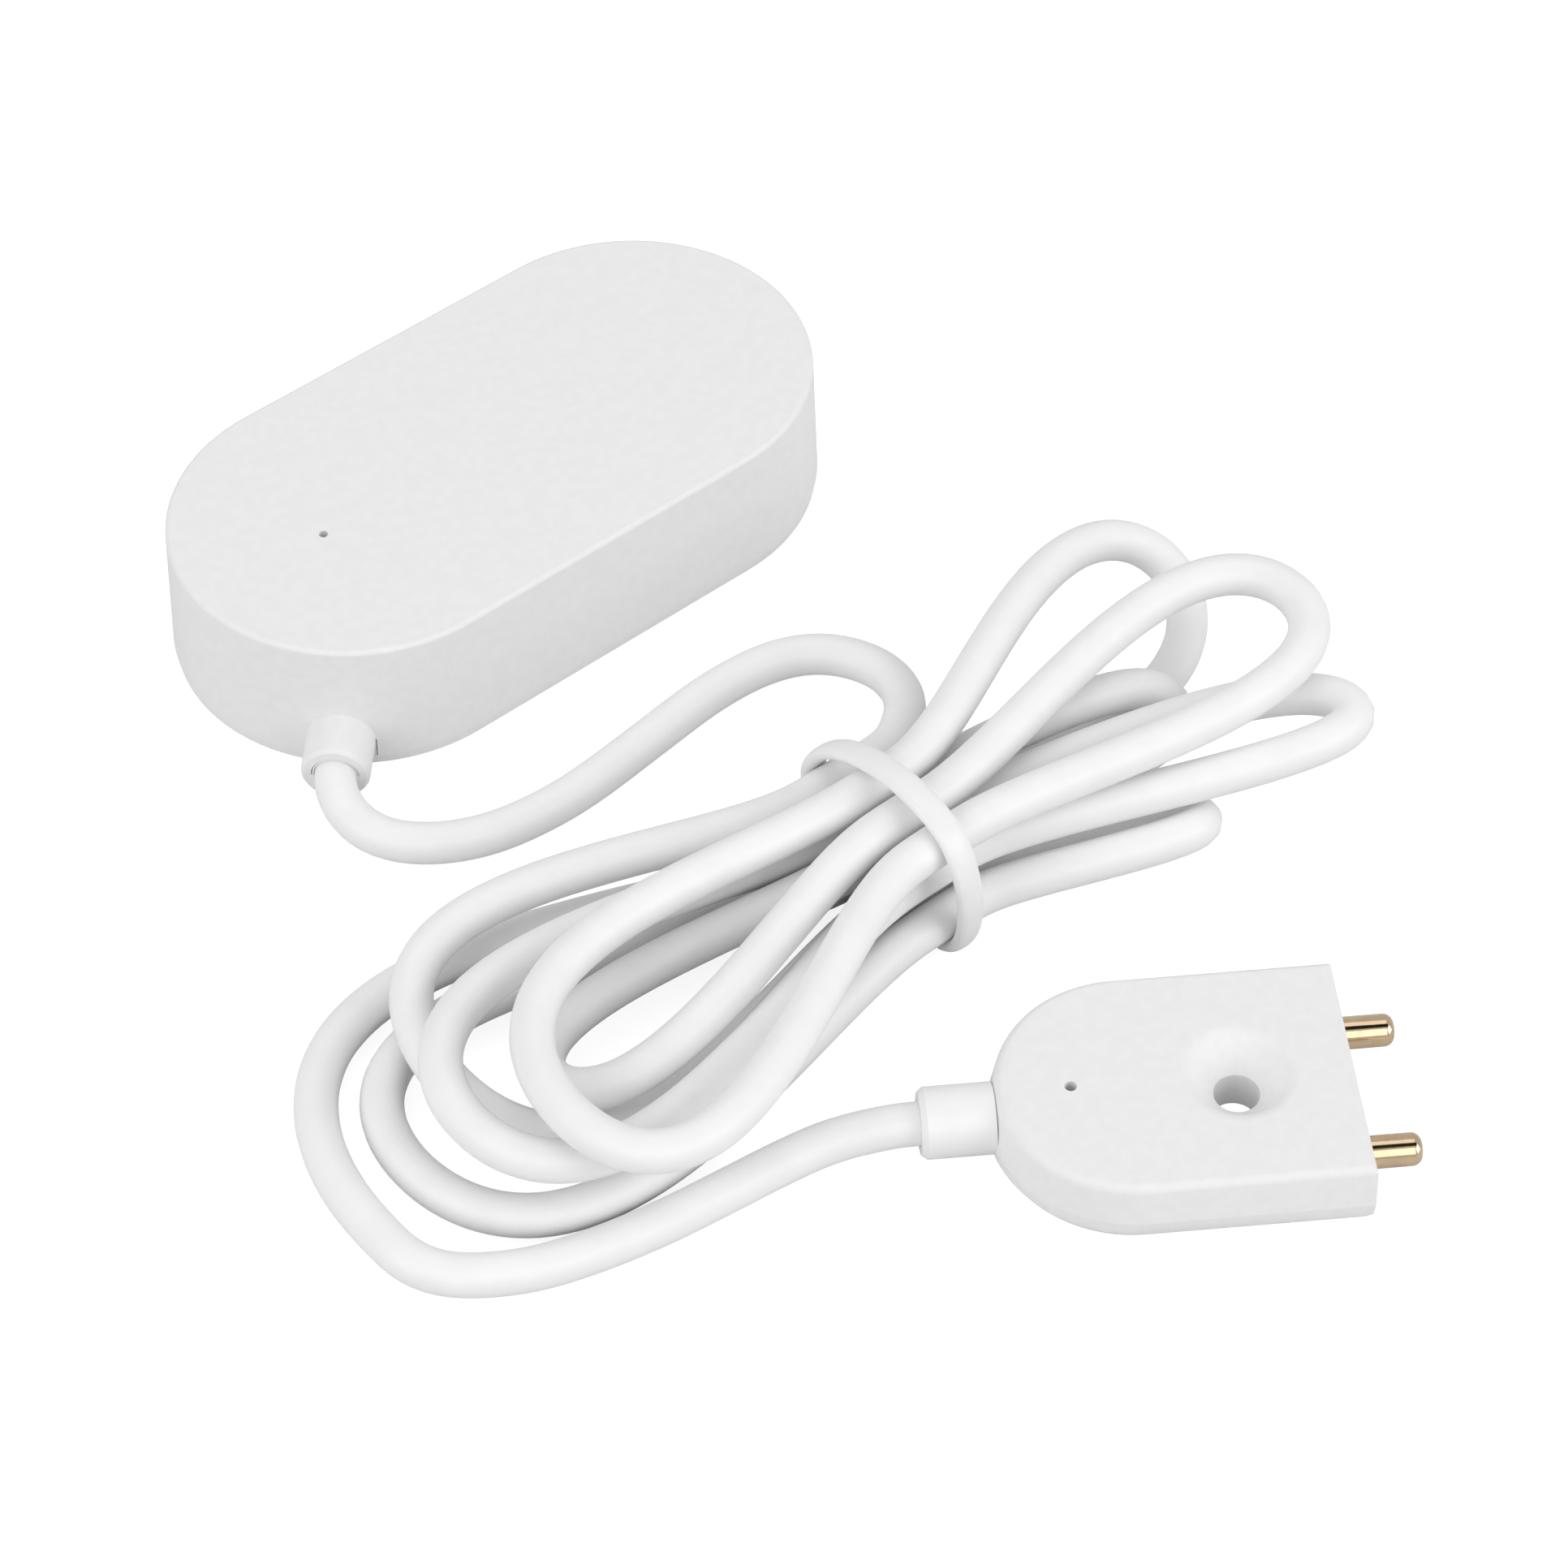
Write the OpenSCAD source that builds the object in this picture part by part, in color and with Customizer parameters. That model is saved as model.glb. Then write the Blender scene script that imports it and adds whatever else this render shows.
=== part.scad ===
// Water leak sensor: a white housing with two cells, a tied hank of cord and a floor probe with two pins.
// Millimetres. Origin at the centre of the housing's underside, +Z up, +X along the housing,
// away from the end where the cord leaves.

/* [Housing] */
// Length of the housing at its underside
housing_l = 70.8; // [66:0.1:90]
// Width of the housing at its underside
housing_w = 37.2; // [36:0.1:50]
// Height of the housing
housing_h = 14.8; // [14.6:0.1:22]
// How far each side wall leans in over the full height
housing_draft = 0.5; // [0:0.1:1]
// Wall of the cover at its top
cover_wall = 1.6; // [1.2:0.1:2.4]
// Roof of the cover
cover_roof = 1.5; // [1:0.1:2]
// Rounding of the cover's upper edge
cover_edge = 0.5; // [0.2:0.1:1]
// Height of the seam between base and cover
seam_z = 1.0; // [0.8:0.1:1.4]
// Step of the base behind the cover's face
seam_step = 0.2; // [0:0.1:0.4]
// Height of the base's locating rim above the seam
rim_h = 3; // [2:0.1:5]
// Wall of the locating rim
rim_wall = 1.2; // [0.8:0.1:2]
// Diameter of the pinhole over the reset switch
pinhole_d = 0.9; // [0.6:0.1:1.4]
// Width of the seal in the base
seal_w = 0.9; // [0.6:0.1:1.2]
// Depth of the seal's groove
seal_h = 0.4; // [0.3:0.1:0.6]

/* [Outlet] */
// Direction of the cord outlet, in degrees from +X
outlet_turn = 227; // [200:1:250]
// Distance of the sleeve's mouth from the centre of the housing's round end
outlet_reach = 23; // [21:0.1:30]
// Outer radius of the outlet sleeve
sleeve_r = 3.3; // [3:0.1:4.5]

/* [Cord] */
// Diameter of the cord
cord_d = 4; // [3.6:0.1:4]
// Diameter of each core
core_d = 1.1; // [0.8:0.1:1.4]
// Distance of each core from the cord's centre
core_offset = 0.8; // [0.6:0.1:0.9]

/* [Hank] */
// Distance of the hank's middle from the housing's middle
hank_set = 60; // [60:0.5:80]
// Spacing of the strands across the waist
strand_pitch = 4.6; // [4.5:0.1:5]
// Half length of the straight waist under the tie
waist = 3; // [2:0.1:4]
// Width of the tie
tie_w = 2.8; // [1.6:0.1:4]
// Thickness of the tie
tie_t = 1.2; // [0.8:0.1:1.2]

/* [Cells and board] */
// Diameter of a cell
cell_d = 10.5; // [8:0.1:10.5]
// Length of a cell with its nub
cell_l = 44.5; // [40:0.1:44.5]
// Half spacing of the two cells
cell_y = 5.5; // [5.5:0.1:6]
// Thickness of the circuit board
board_t = 1; // [0.8:0.1:1.2]
// Room between the board's underside and the cover's roof
board_room = 3.4; // [3.3:0.1:3.7]
// Travel of the reset plunger
reset_travel = 0.25; // [0.15:0.05:0.25]

/* [Probe] */
// Radius of the probe's round end
probe_r = 12.6; // [12:0.1:15]
// Length of the probe's shell
probe_l = 32.7; // [30:0.1:40]
// Height of the probe
probe_h = 7; // [6.8:0.1:9]
// Height of the joint between its shells
probe_split = 2.8; // [2.6:0.1:3]
// Wall of the probe's shells
probe_wall = 1.4; // [1.2:0.1:1.8]
// Diameter of the screw hole
screw_hole_d = 4.2; // [3:0.1:5]
// Diameter of the dish round the screw hole
dish_d = 11; // [9:0.1:11]
// Diameter of a pin
pin_d = 3; // [2.4:0.1:3]
// Half spacing of the pins
pin_y = 6.8; // [6.6:0.1:7.4]
// How far a pin stands out of the shell
pin_out = 5.1; // [3:0.1:8]
// Outer diameter of the cord collar
collar_d = 6.5; // [6:0.1:7]
// Length of the collar outside the shell
collar_l = 6.6; // [5:0.1:10]

/* [Hidden] */
$fn = 64;

white = [0.92, 0.92, 0.92];
metal = [0.75, 0.75, 0.76];
gold = [0.83, 0.69, 0.43];
green = [0.10, 0.35, 0.20];
black = [0.08, 0.08, 0.09];

gap = 0.3;
slip = 0.05;
eps = 0.01;

// housing
end_r = housing_w / 2;
end_x = housing_l / 2 - end_r;
top_r = end_r - housing_draft;
cavity_r = top_r - cover_wall;
cavity_z = housing_h - cover_roof;
rim_r = cavity_r - gap;
rim_in = rim_r - rim_wall;
rim_z = seam_z + rim_h;
floor_z = seam_z + 0.2;
seal_r = cavity_r + 0.5;

// outlet
sleeve_bore = cord_d / 2 + gap;
notch_w = 2 * (sleeve_r + gap);
clamp_in = rim_in - 1.8;
sheath_in = clamp_in - 0.4;
plug_at = sheath_in - 1.8;

// cells, contacts and board
board_z = cavity_z - board_room;
cell_gap = min(gap, (cavity_z - floor_z - cell_d) / 2);
cell_z = floor_z + cell_gap + cell_d / 2;
nub = 1;
spring_l = 2.5;
spring_tip = 1.8;
spring_foot = board_z - cell_z - 0.15;
contact_t = 0.4;
contact_w = 6.4;
holder_t = 1;
plug_w = 5;
plug_l = 3;
plug_room = 0.35;
plug_corner = (plug_at - plug_l / 2) * cos(outlet_turn) - plug_w / 2 * sin(outlet_turn);
plate_x = -end_x + plug_corner + plug_room + holder_t + contact_t;
bridge_x = plate_x + cell_l + spring_l;
board_edge = plate_x + nub - gap;
board_r = rim_in - gap;
board_top = board_z + board_t;
post_ring = board_r - 1.4;
post_x = board_edge - 2.2;
post_y = sqrt(pow(post_ring, 2) - pow(post_x + end_x, 2));
post_at = [[post_ring * cos(160) - end_x, post_ring * sin(160)], [post_x, post_y], [post_x, -post_y]];
post_r = 2.2;
screw_r = 0.75;
screw_l = 3.5;
module_at = [7.3 - board_r - end_x, 4.9];
led_at = [6.2 - board_r - end_x, -3.5];
antenna_at = [2.7 - board_r - end_x, -3.5];
plug_z = board_z - 3.5;
socket_h = 1.5;
switch_at = [board_edge - 1.5, 0];
switch_w = 3;
switch_h = 1.2;
switch_z = board_top + switch_h;
plunger_r = 0.9;
plunger_z = switch_z - 0.5;
plunger_top = switch_z + 0.6;

// probe
probe_at = [1, -96, 0];
probe_turn = -34;
round_x = -probe_l / 2 + probe_r;
flat_x = probe_l / 2;
probe_roof_z = probe_h - probe_wall;
probe_floor_z = 1.2;
screw_at = 6;
dish_slope = 48;
dish_round = 1.6;
boss_r = dish_d / 2 + 0.5;
post_out = screw_hole_d / 2 + 1.5;
pin_z = probe_split;
pin_in = 9.5;
pin_disc_r = 2.2;
pin_disc = [11, 12];
collar_z = 3.4;
collar_x = -probe_l / 2 - collar_l + 0.55;
collar_shoulder = -probe_l / 2 + 0.55;
neck_r = 2.5;
neck_x = collar_shoulder + 1.6;
flange_r = 2.9;
flange_t = 1;
probe_sheath = neck_x + flange_t + 0.4;
probe_board_z = 2;
probe_board_x = [-9.5, -1];
probe_board_w = 16;
probe_post = [-6, 4];
pin_block = 5.2;
link_lap = 2;
core_lap = 3;

// Profile of the housing's outside, from its axis out, between two heights
function shell_r(z) = end_r - housing_draft * z / housing_h;
function shell_profile(z0) = concat(
    [[0, z0], [shell_r(z0), z0]],
    [for (a = [0 : 15 : 90])
        [top_r - cover_edge + cover_edge * cos(a), housing_h - cover_edge + cover_edge * sin(a)]],
    [[0, housing_h]]);

// A profile turned round both ends and drawn along the middle
module loaf(profile, half) {
    for (s = [-1, 1]) translate([s * half, 0, 0]) rotate_extrude($fn = 128) polygon(profile);
    for (s = [0, 1]) mirror([0, s, 0])
        rotate([90, 0, 90]) linear_extrude(2 * half, center = true) polygon(profile);
}

module stadium(r, z0, z1) {
    translate([0, 0, z0]) linear_extrude(z1 - z0) {
        for (s = [-1, 1]) translate([s * end_x, 0]) circle(r, $fn = 128);
        square([2 * end_x, 2 * r], center = true);
    }
}

// Frame of the outlet: local x runs outward along the cord, the cord's centre on local z = sleeve_r
module at_outlet() {
    translate([-end_x, 0, 0]) rotate(outlet_turn) children();
}

// A round bar along x
module bar(r, x0, x1, z = 0, y = 0) {
    translate([x0, y, z]) rotate([0, 90, 0]) cylinder(r = r, h = x1 - x0);
}

module block(x0, x1, w, z0, z1) {
    translate([x0, -w / 2, z0]) cube([x1 - x0, w, z1 - z0]);
}

// Housing

module base_plate() {
    color(white) difference() {
        union() {
            stadium(end_r - seam_step, 0, seam_z);
            difference() {
                stadium(rim_r, 0, rim_z);
                stadium(rim_in, floor_z, rim_z + 1);
                at_outlet() block(clamp_in, rim_r + 1, notch_w, sleeve_r, rim_z + 1);
            }
            at_outlet() intersection() {
                sleeve_body(clamp_in);
                block(0, outlet_reach + 1, notch_w, 0, sleeve_r);
            }
            intersection() {
                stadium(end_r - seam_step, 0, sleeve_r);
                at_outlet() block(clamp_in, end_r, 2 * sleeve_r, 0, sleeve_r);
            }
            block(plate_x - contact_t - holder_t, plate_x - contact_t, 4 * cell_y - 1, 0, board_z - 0.5);
            block(bridge_x + contact_t, bridge_x + contact_t + holder_t, 3 * cell_y, 0, board_z - 0.5);
            for (p = post_at) translate([p[0], p[1], 0]) cylinder(r = post_r, h = board_z);
        }
        difference() {
            stadium(seal_r + seal_w, seam_z - seal_h, seam_z + eps);
            stadium(seal_r, 0, seam_z + 1);
            at_outlet() block(rim_r, end_r + 1, notch_w, 0, seam_z + 1);
        }
        at_outlet() bar(cord_d / 2 + slip, clamp_in - 3, outlet_reach + 1, sleeve_r);
        for (p = post_at) translate([p[0], p[1], board_z - screw_l - 0.5])
            cylinder(r = screw_r, h = screw_l + 1);
    }
}

module sleeve_body(from) {
    bar(sleeve_r, from, outlet_reach - 0.4, sleeve_r);
    translate([outlet_reach - 0.4, 0, sleeve_r]) rotate([0, 90, 0])
        cylinder(r1 = sleeve_r, r2 = sleeve_r - 0.3, h = 0.4);
}

module cover_seal() {
    color(black) difference() {
        stadium(seal_r + seal_w, seam_z - seal_h, seam_z);
        stadium(seal_r, 0, seam_z + 1);
        at_outlet() block(rim_r, end_r + 1, notch_w, 0, seam_z + 1);
    }
}

module top_cover() {
    color(white) difference() {
        union() {
            loaf(shell_profile(seam_z), end_x);
            at_outlet() intersection() {
                sleeve_body(cavity_r);
                block(0, outlet_reach + 1, notch_w, sleeve_r, 2 * sleeve_r);
            }
        }
        stadium(cavity_r, seam_z - 1, cavity_z);
        at_outlet() block(cavity_r - 1, outlet_reach + 1, 2 * sleeve_r + 4 * slip, 0, sleeve_r);
        at_outlet() bar(sleeve_bore, cavity_r - 1, outlet_reach + 1, sleeve_r);
        translate([switch_at[0], switch_at[1], cavity_z - 1]) cylinder(d = pinhole_d, h = cover_roof + 2);
    }
}

// Cells and contacts

module cell(nub_side) {
    x0 = nub_side > 0 ? plate_x + spring_l : plate_x + nub;
    body_l = cell_l - nub;
    translate([0, 0, cell_z]) {
        bar(cell_d / 2, x0, x0 + body_l);
        nub_x = nub_side > 0 ? x0 + body_l - eps : x0 - nub;
        bar(1.9, nub_x, nub_x + nub + eps);
    }
}

module battery_left() {
    color([0.35, 0.45, 0.6]) translate([0, cell_y, 0]) cell(1);
}

module battery_right() {
    color([0.35, 0.45, 0.6]) translate([0, -cell_y, 0]) cell(-1);
}

// Hollow cone that stands for a cell's coiled spring, wide end on its plate
module spring_cone(r_small, r_wide, h) {
    difference() {
        cylinder(r1 = r_wide, r2 = r_small, h = h);
        translate([0, 0, -eps]) cylinder(r1 = r_wide - 0.6, r2 = r_small - 0.6, h = h + 2 * eps);
    }
}

module contact_spring() {
    color(metal) {
        translate([0, cell_y, 0]) block(plate_x - contact_t, plate_x, contact_w, floor_z, board_z);
        translate([plate_x - eps, cell_y, cell_z]) rotate([0, 90, 0])
            spring_cone(spring_tip, spring_foot, spring_l + eps);
    }
}

module contact_plate() {
    color(metal) translate([0, -cell_y, 0]) block(plate_x - contact_t, plate_x, contact_w, floor_z, board_z);
}

module contact_bridge() {
    color(metal) {
        block(bridge_x, bridge_x + contact_t, 2 * (cell_y + spring_foot), floor_z, cell_z + spring_foot);
        translate([bridge_x + eps, -cell_y, cell_z]) rotate([0, -90, 0])
            spring_cone(spring_tip, spring_foot, spring_l + eps);
    }
}

// Board

module main_board() {
    color(green) difference() {
        intersection() {
            translate([-end_x, 0, board_z]) cylinder(r = board_r, h = board_t, $fn = 128);
            block(-end_x - board_r - 1, board_edge, 2 * board_r, 0, housing_h);
        }
        for (p = post_at) translate([p[0], p[1], 0]) cylinder(r = screw_r + 0.2, h = housing_h);
    }
}

module board_screws() {
    color(metal) for (p = post_at) translate([p[0], p[1], 0]) {
        translate([0, 0, board_z - screw_l]) cylinder(r = screw_r, h = board_t + screw_l + eps);
        translate([0, 0, board_top]) difference() {
            cylinder(r = 1.6, h = 1.1);
            translate([-1, -0.2, 0.7]) cube([2, 0.4, 1]);
            translate([-0.2, -1, 0.7]) cube([0.4, 2, 1]);
        }
    }
}

module radio_module() {
    color([0.7, 0.7, 0.72]) translate(module_at) block(-3, 3, 6, board_top, board_top + 1.6);
}

module antenna() {
    color(gold) translate(antenna_at) {
        block(-0.6, 0.6, 7, board_top, board_top + 0.3);
        translate([1.5, 2.9, 0]) block(-0.9, 0.9, 1.2, board_top, board_top + 0.3);
    }
}

module status_led() {
    color([0.9, 0.95, 0.9]) translate(led_at) {
        block(-0.8, 0.8, 1.2, board_top, board_top + 0.5);
        translate([0, 0, board_top + 0.5 - eps]) cylinder(r = 0.5, h = 0.3);
    }
}

module reset_switch() {
    color(black) difference() {
        translate([switch_at[0], 0, 0]) block(-switch_w / 2, switch_w / 2, switch_w, board_top, switch_z);
        translate([switch_at[0], 0, plunger_z - reset_travel - 0.1])
            cylinder(r = plunger_r + slip, h = switch_h);
    }
}

module reset_plunger() {
    color(white) translate([switch_at[0], 0, plunger_z]) cylinder(r = plunger_r, h = plunger_top - plunger_z);
}

// Cord end in the housing

module lead_socket() {
    color(white) at_outlet() translate([plug_at, 0, 0])
        block(-plug_l / 2, plug_l / 2, plug_w, board_z - socket_h, board_z);
}

module lead_plug() {
    color(white) at_outlet() translate([plug_at, 0, 0])
        block(-plug_l / 2, plug_l / 2, plug_w - 0.6, plug_z, board_z - socket_h);
}

module lead_conductors() {
    color([0.6, 0.2, 0.15]) at_outlet() for (s = [-1, 1]) translate([0, s * core_offset, 0]) {
        bar(core_d / 2, plug_at, sheath_in, sleeve_r);
        translate([plug_at, 0, sleeve_r]) sphere(d = core_d, $fn = 32);
        translate([plug_at, 0, sleeve_r]) cylinder(d = core_d, h = plug_z - sleeve_r);
    }
}

module cord_clamp() {
    color(white) at_outlet() difference() {
        intersection() {
            bar(sleeve_r, clamp_in, rim_r - 0.2, sleeve_r);
            block(clamp_in, rim_r, notch_w, sleeve_r, 2 * sleeve_r);
        }
        bar(cord_d / 2 + slip, clamp_in - 1, rim_r, sleeve_r);
    }
}

// Cord

function unit(v) = v / norm(v);

// Points of a smooth curve through the route, n steps to each stretch
function bend(a, b, c, d, t) =
    b + (c - a) * t / 2 + (2 * a - 5 * b + 4 * c - d) * pow(t, 2) / 2
    + (3 * b - a - 3 * c + d) * pow(t, 3) / 2;
function smooth(p, n) = concat(
    [p[0]],
    [for (i = [1 : len(p) - 3]) for (k = [0 : n - 1]) bend(p[i - 1], p[i], p[i + 1], p[i + 2], k / n)],
    [p[len(p) - 2], p[len(p) - 1]]);

// A round tube along a path whose direction is nowhere upright
module tube(path, r, sides) {
    last = len(path) - 1;
    points = [for (i = [0 : last])
        let (t = unit(path[min(i + 1, last)] - path[max(i - 1, 0)]),
            side = unit(cross([0, 0, 1], t)),
            up = cross(t, side))
        for (k = [0 : sides - 1])
            path[i] + r * (cos(360 * k / sides) * side + sin(360 * k / sides) * up)];
    walls = [for (i = [0 : last - 1]) for (k = [0 : sides - 1])
        let (a = i * sides + k, b = i * sides + (k + 1) % sides)
        each [[a, a + sides, b + sides], [a, b + sides, b]]];
    caps = [for (k = [1 : sides - 2])
        each [[0, k, k + 1], [last * sides, last * sides + k + 1, last * sides + k]]];
    polyhedron(points, concat(walls, caps), convexity = 10);
}

// Hank: strands lie at the waist in columns and three rows, and loops leave the waist on both sides
row_z = [3.6, 8, 12.6];
row_shift = [2.3, 0, -1.1];
function hank_slot(col, row) = [0, strand_pitch * col + row_shift[row] - hank_set, row_z[row]];

// Each loop: side, column and row it leaves, column and row it enters, reach, place of its tip
// across the hank, height of its tip, half width, tilt, bluntness
loops = [
    [-1, 2, 1, -1, 0, 47.5, 6.6, 5.5, 15, 2.6, 0.2],
    [1, -1, 0, -2, 0, 26, -13, 4, 4, -3.2, 0.15],
    [-1, -2, 0, 0, 0, 54.5, 2, 2.2, -18, 0, 0.2],
    [1, 0, 0, 1, 1, 33, -2, 5, -2, -2.5, 0.3],
    [-1, 1, 1, -1, 1, 51, -2, 9.9, 14.5, 1, 0.2],
    [1, -1, 1, 0, 1, 43, -15, 9.3, -5.5, 1, 0.25],
    [-1, 0, 1, 0, 2, 41, -1.2, 6.5, 10.4, -1, 0.2],
    [1, 0, 2, -1, 2, 45.5, -4, 14, 11, 0, 0.2],
    [-1, -1, 2, 1, 2, 45.5, -9.5, 13.8, -15.5, 0, 0.2],
    [1, 1, 2, 1, 0, 44, 10, 6.5, 16, 3.5, 0]];
// The last loop stops half way, at its tip, where the tail takes over
half_loop = [-1, 1, 0, 61, -1, 2.2, 29.5, 0.1];
soft = 0.25;

function loop_point(side, a, b, reach, tip, width, tilt, blunt, th) =
    let (mix = (1 - cos(th)) / 2,
        s = sin(th) * (1 + blunt * pow(cos(th), 2)),
        flare = (1 + soft) * s * s / (s + soft))
    a + (b - a) * mix
    + flare * (tip - (a + b) / 2 + [0, width, tilt] * cos(th))
    + [side * (waist + (reach - waist) * s), 0, 0];

function loop_path(l, n) =
    let (a = hank_slot(l[1], l[2]), b = hank_slot(l[3], l[4]))
    [for (i = [0 : n])
        loop_point(l[0], a, b, l[5], [0, l[6] - hank_set, l[7]], l[8], l[9], l[10], 180 * i / n)];

function half_path(n) =
    let (a = hank_slot(half_loop[1], half_loop[2]), tip = [0, half_loop[4] - hank_set, half_loop[5]])
    [for (i = [0 : n])
        loop_point(half_loop[0], a, 2 * [0, tip[1], a[2] / 2] - [0, a[1], 0], half_loop[3], tip,
            half_loop[6], 0, half_loop[7], 90 * i / n)];

hank_end = [-half_loop[3], half_loop[4] - hank_set - cord_d / 2, half_loop[5]];
function hank_path(n) = concat(
    [[waist, 0, 0] + hank_slot(loops[0][1], loops[0][2])],
    [for (l = loops) each loop_path(l, n)],
    half_path(n / 2),
    [hank_end]);

// Least clear distance between strands, over points further apart along the cord than `apart`
function run_length(p, i = 1, sum = 0, out = [0]) =
    i >= len(p) ? out
    : let (next = sum + norm(p[i] - p[i - 1])) run_length(p, i + 1, next, concat(out, [next]));
function least_gap(p, apart) =
    let (run = run_length(p))
    min([for (i = [0 : len(p) - 2]) for (j = [i + 1 : len(p) - 1])
        if (run[j] - run[i] > apart) norm(p[i] - p[j])]) - cord_d;

// Lead: from the clamp, out of the sleeve, round in a bow on the floor and up into the tie
floor_c = cord_d / 2 + 0.1;
outlet_d = [cos(outlet_turn), sin(outlet_turn), 0];
outlet_p = [-end_x, 0, sleeve_r];
lead_route = [
    outlet_p + sheath_in * outlet_d, outlet_p + (sheath_in + cord_d) * outlet_d,
    outlet_p + (outlet_reach - 3) * outlet_d, outlet_p + (outlet_reach + 0.2) * outlet_d,
    outlet_p + (outlet_reach + 1) * outlet_d,
    [-34, -20, 2.8], [-34, -23, 2.4], [-32.6, -26, floor_c], [-29.6, -28.9, floor_c],
    [-25.4, -31, floor_c], [-20.2, -32, floor_c], [-14.5, -32.1, floor_c], [-6, -31.2, floor_c],
    [1.5, -30.4, floor_c], [7.3, -30.6, floor_c], [11.3, -31.7, floor_c], [14, -33.6, floor_c],
    [15.6, -36.2, 2.3], [16, -39.2, 3], [15.2, -42.4, 4.2], [13.4, -45.6, 5.8], [10.8, -48.4, 7.2],
    [waist + cord_d, 0, 0] + hank_slot(2, 1), [waist, 0, 0] + hank_slot(2, 1)];

// Tail: from the outer loop along the floor to the probe's collar
probe_d = [cos(probe_turn), sin(probe_turn), 0];
probe_p = probe_at + [0, 0, collar_z];
tail_route = [
    hank_end, hank_end - [0, cord_d, 0] / 2, [-59.6, -68.4, floor_c], [-56.6, -71.2, floor_c],
    [-52.5, -73.6, floor_c], [-47, -75.4, floor_c], [-41, -76.7, floor_c], [-34.5, -77.6, floor_c],
    [-29, -78.3, floor_c], [-24, -79.5, 2.4], probe_p + (collar_x - 2) * probe_d,
    probe_p + collar_x * probe_d, probe_p + (probe_sheath - cord_d) * probe_d,
    probe_p + probe_sheath * probe_d];

module cord_lead() {
    color(white) tube(smooth(lead_route, 3), cord_d / 2, 10);
}

module cord_hank() {
    fine = hank_path(60);
    echo("hank length", run_length(fine)[len(fine) - 1], "least gap", least_gap(fine, 3 * cord_d));
    color(white) tube(hank_path(24), cord_d / 2, 6);
}

module cord_tail() {
    color(white) tube(smooth(tail_route, 3), cord_d / 2, 10);
}

module hank_tie() {
    r = cord_d / 2 + gap;
    outer = [[1, 2], [-1, 2], [2, 1], [-2, 0], [1, 0], [-1, 1]];
    color(white) rotate([90, 0, 90]) linear_extrude(tie_w, center = true) difference() {
        hull() for (s = outer) translate([hank_slot(s[0], s[1])[1], hank_slot(s[0], s[1])[2]])
            circle(r + tie_t, $fn = 32);
        hull() for (s = outer) translate([hank_slot(s[0], s[1])[1], hank_slot(s[0], s[1])[2]])
            circle(r, $fn = 32);
    }
}

// Probe, in its own frame: local x runs from the cord to the pins

module at_probe() {
    translate(probe_at) rotate(probe_turn) children();
}

// Round at the cord's end, square at the pins' end
module probe_form(profile, side) {
    half_l = (flat_x - round_x) / 2 + 4;
    intersection() {
        translate([round_x, 0, 0]) {
            rotate_extrude($fn = 128) polygon(profile);
            for (s = [0, 1]) mirror([0, s, 0]) rotate([90, 0, 90])
                linear_extrude(2 * half_l) polygon(profile);
        }
        translate([0, probe_r + 1, 0]) rotate([90, 0, 0]) linear_extrude(2 * probe_r + 2) polygon(side);
    }
}

back_x = -probe_l;
top_profile = [[0, probe_split], [probe_r, probe_split], [probe_r - 0.55, probe_h - 0.8],
    [probe_r - 0.66, probe_h - 0.5], [probe_r - 0.85, probe_h - 0.24], [probe_r - 1.1, probe_h - 0.08],
    [probe_r - 1.4, probe_h], [0, probe_h]];
top_side = [[back_x, 0], [flat_x, 0], [flat_x, probe_h - 0.6], [flat_x - 0.12, probe_h - 0.25],
    [flat_x - 0.5, probe_h], [back_x, probe_h]];
bottom_profile = [[0, 0], [probe_r - 1.6, 0], [probe_r - 0.6, 0.5], [probe_r - 0.1, 1.4],
    [probe_r, probe_split], [0, probe_split]];
bottom_side = [[back_x, 0], [flat_x - 1.6, 0], [flat_x - 0.6, 0.5], [flat_x - 0.1, 1.4],
    [flat_x, probe_split], [back_x, probe_split]];

// Hollow of the shells between two heights
module probe_hollow(z0, z1) {
    r = probe_r - probe_wall - 0.6;
    translate([round_x, 0, z0]) cylinder(r = r, h = z1 - z0, $fn = 128);
    block(round_x, flat_x - probe_wall - 0.2, 2 * r, z0, z1);
}

// Room for the pins, the collar and the screw
module probe_holes() {
    for (s = [-1, 1]) translate([0, s * pin_y, 0]) {
        bar(pin_d / 2 + slip, pin_in, flat_x + 1, pin_z);
        bar(pin_disc_r + slip, pin_disc[0], pin_disc[1], pin_z);
    }
    bar(collar_d / 2 + slip, -probe_l, collar_shoulder, collar_z);
    bar(neck_r + slip, -probe_l, neck_x, collar_z);
    bar(flange_r + slip, neck_x, neck_x + flange_t, collar_z);
    translate([screw_at, 0, -1]) cylinder(d = screw_hole_d, h = probe_h + 2);
}

module probe_bottom_shell() {
    color(white) at_probe() difference() {
        union() {
            difference() {
                probe_form(bottom_profile, bottom_side);
                probe_hollow(probe_floor_z, probe_split + 1);
            }
            translate([screw_at, 0, 0]) cylinder(r = post_out, h = probe_split);
            for (s = [-1, 1]) translate([0, s * pin_y, 0])
                block(pin_in, flat_x - 1, pin_block, 0.5, probe_split);
            for (s = [-1, 1]) translate([probe_post[0], s * probe_post[1], 0])
                cylinder(r = 1.2, h = probe_board_z);
        }
        probe_holes();
    }
}

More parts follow.
